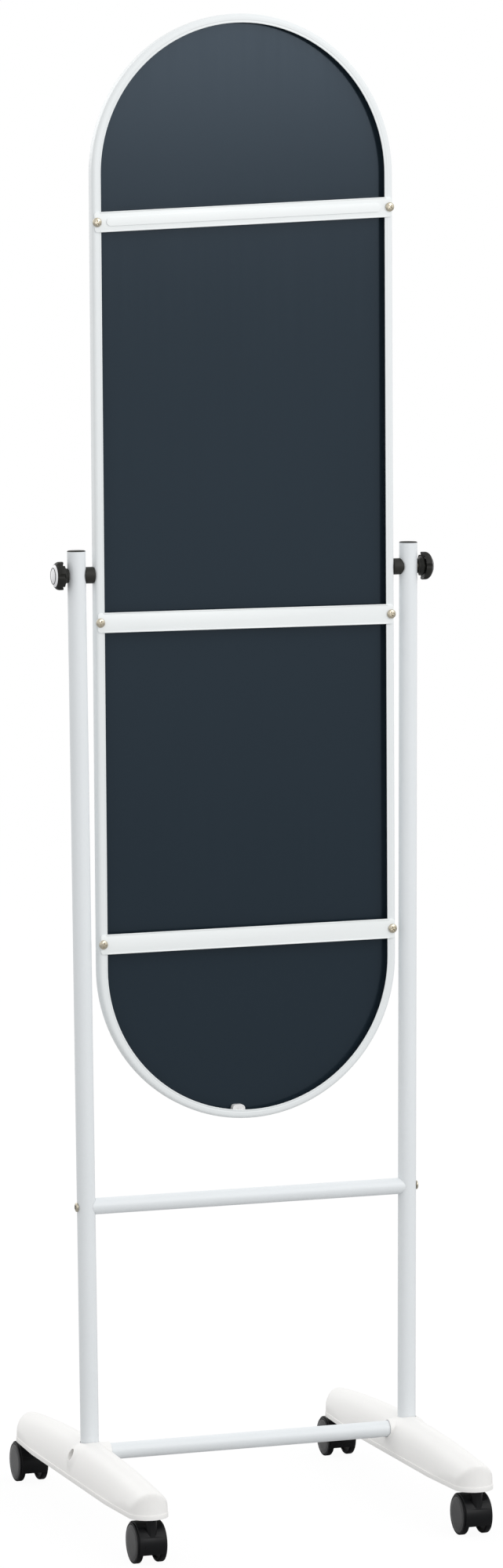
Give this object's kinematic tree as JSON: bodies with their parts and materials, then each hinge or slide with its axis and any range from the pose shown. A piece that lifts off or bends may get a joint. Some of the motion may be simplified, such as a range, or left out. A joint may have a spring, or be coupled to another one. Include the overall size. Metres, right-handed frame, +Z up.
{
  "type": "rolling floor mirror",
  "caption": "Full-length stadium-shaped mirror that tilts between two round uprights on a wheeled stand with arched feet, crossbars, clamp knobs and twin-wheel casters",
  "frame": {"origin": "On the floor, below the middle of the overall box", "axes": "+Z up; the reflecting side faces -Y; +X is to the right of a person who looks along +Y into the mirror"},
  "size_m": [0.4144, 0.4462, 1.553],
  "materials": {
    "frame_enamel": "pale grey-white semi-gloss enamel on a rolled steel rail",
    "tube_enamel": "pale grey-white semi-gloss enamel on steel tube",
    "brace_enamel": "white enamel on pressed steel",
    "mirror_glass": "clear float glass, silvered behind",
    "back_paint": "dark slate protective paint behind the silvering",
    "plated_screws": "nickel-plated steel screws",
    "clip_plastic": "white moulded clip",
    "steel": "zinc-plated turned steel",
    "black_plastic": "black moulded plastic, fine grain",
    "plug_plastic": "dark moulded plug",
    "foot_plastic": "white moulded plastic, soft sheen",
    "knob_plastic": "black moulded plastic, fine grain",
    "brass": "turned brass",
    "knob_face": "pale glossy moulded cap",
    "caster_plastic": "black moulded nylon",
    "wheel_plastic": "black moulded nylon tread",
    "wheel_cap": "dark grey glossy cap"
  },
  "bodies": {
    "stand": {"spacer_left": "black_plastic", "spacer_right": "black_plastic", "upright_left": "tube_enamel", "upright_right": "tube_enamel", "upright_cap_left": "black_plastic", "upright_cap_right": "black_plastic", "crossbar_middle": "tube_enamel", "crossbar_middle_plugs": "plug_plastic", "crossbar_middle_screws": "plated_screws", "crossbar_lower": "tube_enamel", "crossbar_lower_plugs": "plug_plastic", "crossbar_lower_screws": "plated_screws", "foot_left": "foot_plastic", "foot_right": "foot_plastic", "caster_sockets": "steel", "stem_front_left": "steel", "stem_front_right": "steel", "stem_rear_left": "steel", "stem_rear_right": "steel"},
    "mirror": {"mirror_frame": "frame_enamel", "mirror_glass": "mirror_glass", "mirror_backing": "back_paint", "glass_clip": "clip_plastic", "brace_upper": "brace_enamel", "brace_middle": "brace_enamel", "brace_lower": "brace_enamel", "brace_screws": "plated_screws", "pivot_stud_left": "steel", "pivot_stud_right": "steel"},
    "knob_left": {"knob_left": "knob_plastic", "knob_insert_left": "brass", "knob_cap_left": "knob_face"},
    "knob_right": {"knob_right": "knob_plastic", "knob_insert_right": "brass", "knob_cap_right": "knob_face"},
    "caster_front_left": {"hood_front_left": "caster_plastic", "axle_front_left": "steel"},
    "wheel_front_left_outer": {"wheel_front_left_outer": "wheel_plastic", "wheel_cap_front_left_outer": "wheel_cap"},
    "wheel_front_left_inner": {"wheel_front_left_inner": "wheel_plastic", "wheel_cap_front_left_inner": "wheel_cap"},
    "caster_front_right": {"hood_front_right": "caster_plastic", "axle_front_right": "steel"},
    "wheel_front_right_outer": {"wheel_front_right_outer": "wheel_plastic", "wheel_cap_front_right_outer": "wheel_cap"},
    "wheel_front_right_inner": {"wheel_front_right_inner": "wheel_plastic", "wheel_cap_front_right_inner": "wheel_cap"},
    "caster_rear_left": {"hood_rear_left": "caster_plastic", "axle_rear_left": "steel"},
    "wheel_rear_left_outer": {"wheel_rear_left_outer": "wheel_plastic", "wheel_cap_rear_left_outer": "wheel_cap"},
    "wheel_rear_left_inner": {"wheel_rear_left_inner": "wheel_plastic", "wheel_cap_rear_left_inner": "wheel_cap"},
    "caster_rear_right": {"hood_rear_right": "caster_plastic", "axle_rear_right": "steel"},
    "wheel_rear_right_outer": {"wheel_rear_right_outer": "wheel_plastic", "wheel_cap_rear_right_outer": "wheel_cap"},
    "wheel_rear_right_inner": {"wheel_rear_right_inner": "wheel_plastic", "wheel_cap_rear_right_inner": "wheel_cap"}
  },
  "joints": [
    {"name": "mirror_tilt", "type": "hinge", "parent": "stand", "child": "mirror", "pos_m": [0, 0.01311, 0.984], "axis": [1, 0, 0], "continuous": true},
    {"name": "knob_left_turn", "type": "hinge", "parent": "mirror", "child": "knob_left", "pos_m": [-0.195, 0.01311, 0.984], "axis": [1, 0, 0], "continuous": true},
    {"name": "knob_right_turn", "type": "hinge", "parent": "mirror", "child": "knob_right", "pos_m": [0.195, 0.01311, 0.984], "axis": [1, 0, 0], "continuous": true},
    {"name": "caster_front_left_swivel", "type": "hinge", "parent": "stand", "child": "caster_front_left", "pos_m": [-0.17548, -0.18689, 0.0475], "axis": [0, 0, 1], "continuous": true},
    {"name": "wheel_front_left_outer_spin", "type": "hinge", "parent": "caster_front_left", "child": "wheel_front_left_outer", "pos_m": [-0.18808, -0.20189, 0.0208], "axis": [1, 0, 0], "continuous": true},
    {"name": "wheel_front_left_inner_spin", "type": "hinge", "parent": "caster_front_left", "child": "wheel_front_left_inner", "pos_m": [-0.16288, -0.20189, 0.0208], "axis": [1, 0, 0], "continuous": true},
    {"name": "caster_front_right_swivel", "type": "hinge", "parent": "stand", "child": "caster_front_right", "pos_m": [0.17548, -0.18689, 0.0475], "axis": [0, 0, 1], "continuous": true},
    {"name": "wheel_front_right_outer_spin", "type": "hinge", "parent": "caster_front_right", "child": "wheel_front_right_outer", "pos_m": [0.18808, -0.20189, 0.0208], "axis": [1, 0, 0], "continuous": true},
    {"name": "wheel_front_right_inner_spin", "type": "hinge", "parent": "caster_front_right", "child": "wheel_front_right_inner", "pos_m": [0.16288, -0.20189, 0.0208], "axis": [1, 0, 0], "continuous": true},
    {"name": "caster_rear_left_swivel", "type": "hinge", "parent": "stand", "child": "caster_rear_left", "pos_m": [-0.17548, 0.21311, 0.0475], "axis": [0, 0, 1], "continuous": true},
    {"name": "wheel_rear_left_outer_spin", "type": "hinge", "parent": "caster_rear_left", "child": "wheel_rear_left_outer", "pos_m": [-0.18808, 0.19811, 0.0208], "axis": [1, 0, 0], "continuous": true},
    {"name": "wheel_rear_left_inner_spin", "type": "hinge", "parent": "caster_rear_left", "child": "wheel_rear_left_inner", "pos_m": [-0.16288, 0.19811, 0.0208], "axis": [1, 0, 0], "continuous": true},
    {"name": "caster_rear_right_swivel", "type": "hinge", "parent": "stand", "child": "caster_rear_right", "pos_m": [0.17548, 0.21311, 0.0475], "axis": [0, 0, 1], "continuous": true},
    {"name": "wheel_rear_right_outer_spin", "type": "hinge", "parent": "caster_rear_right", "child": "wheel_rear_right_outer", "pos_m": [0.18808, 0.19811, 0.0208], "axis": [1, 0, 0], "continuous": true},
    {"name": "wheel_rear_right_inner_spin", "type": "hinge", "parent": "caster_rear_right", "child": "wheel_rear_right_inner", "pos_m": [0.16288, 0.19811, 0.0208], "axis": [1, 0, 0], "continuous": true}
  ]
}
